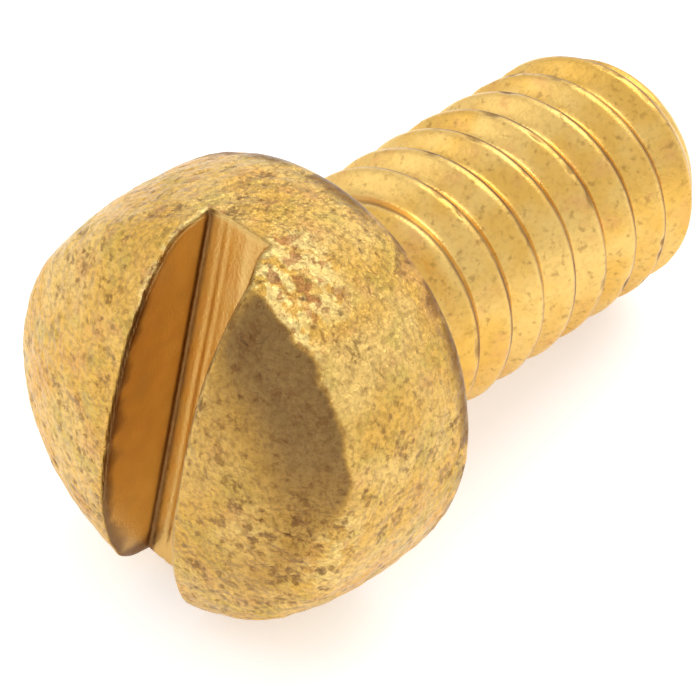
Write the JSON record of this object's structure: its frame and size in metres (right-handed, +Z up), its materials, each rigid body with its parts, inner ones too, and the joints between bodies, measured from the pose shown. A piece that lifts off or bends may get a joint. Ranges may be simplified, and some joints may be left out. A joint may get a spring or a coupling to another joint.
{
  "type": "machine screw",
  "caption": "Brass slotted fillister-head machine screw, lying on its side: domed head with one driver slot, filleted neck and a rolled right-hand thread with a chamfered end.",
  "frame": {"origin": "centre of the flat bearing face under the head, on the screw's axis", "axes": "+Y along the screw's axis from the head to the threaded end, +Z up as it lies on its side; the driver slot crosses the head on the -Y side and leans 5.75 degrees from +Z toward +X"},
  "size_m": [0.0102, 0.0176, 0.0102],
  "materials": {
    "head_brass": "pitted, worn, dull satin",
    "thread_brass": "smooth rolled satin"
  },
  "bodies": {
    "root": {"head": "head_brass", "threaded_shank": "thread_brass"}
  },
  "joints": []
}
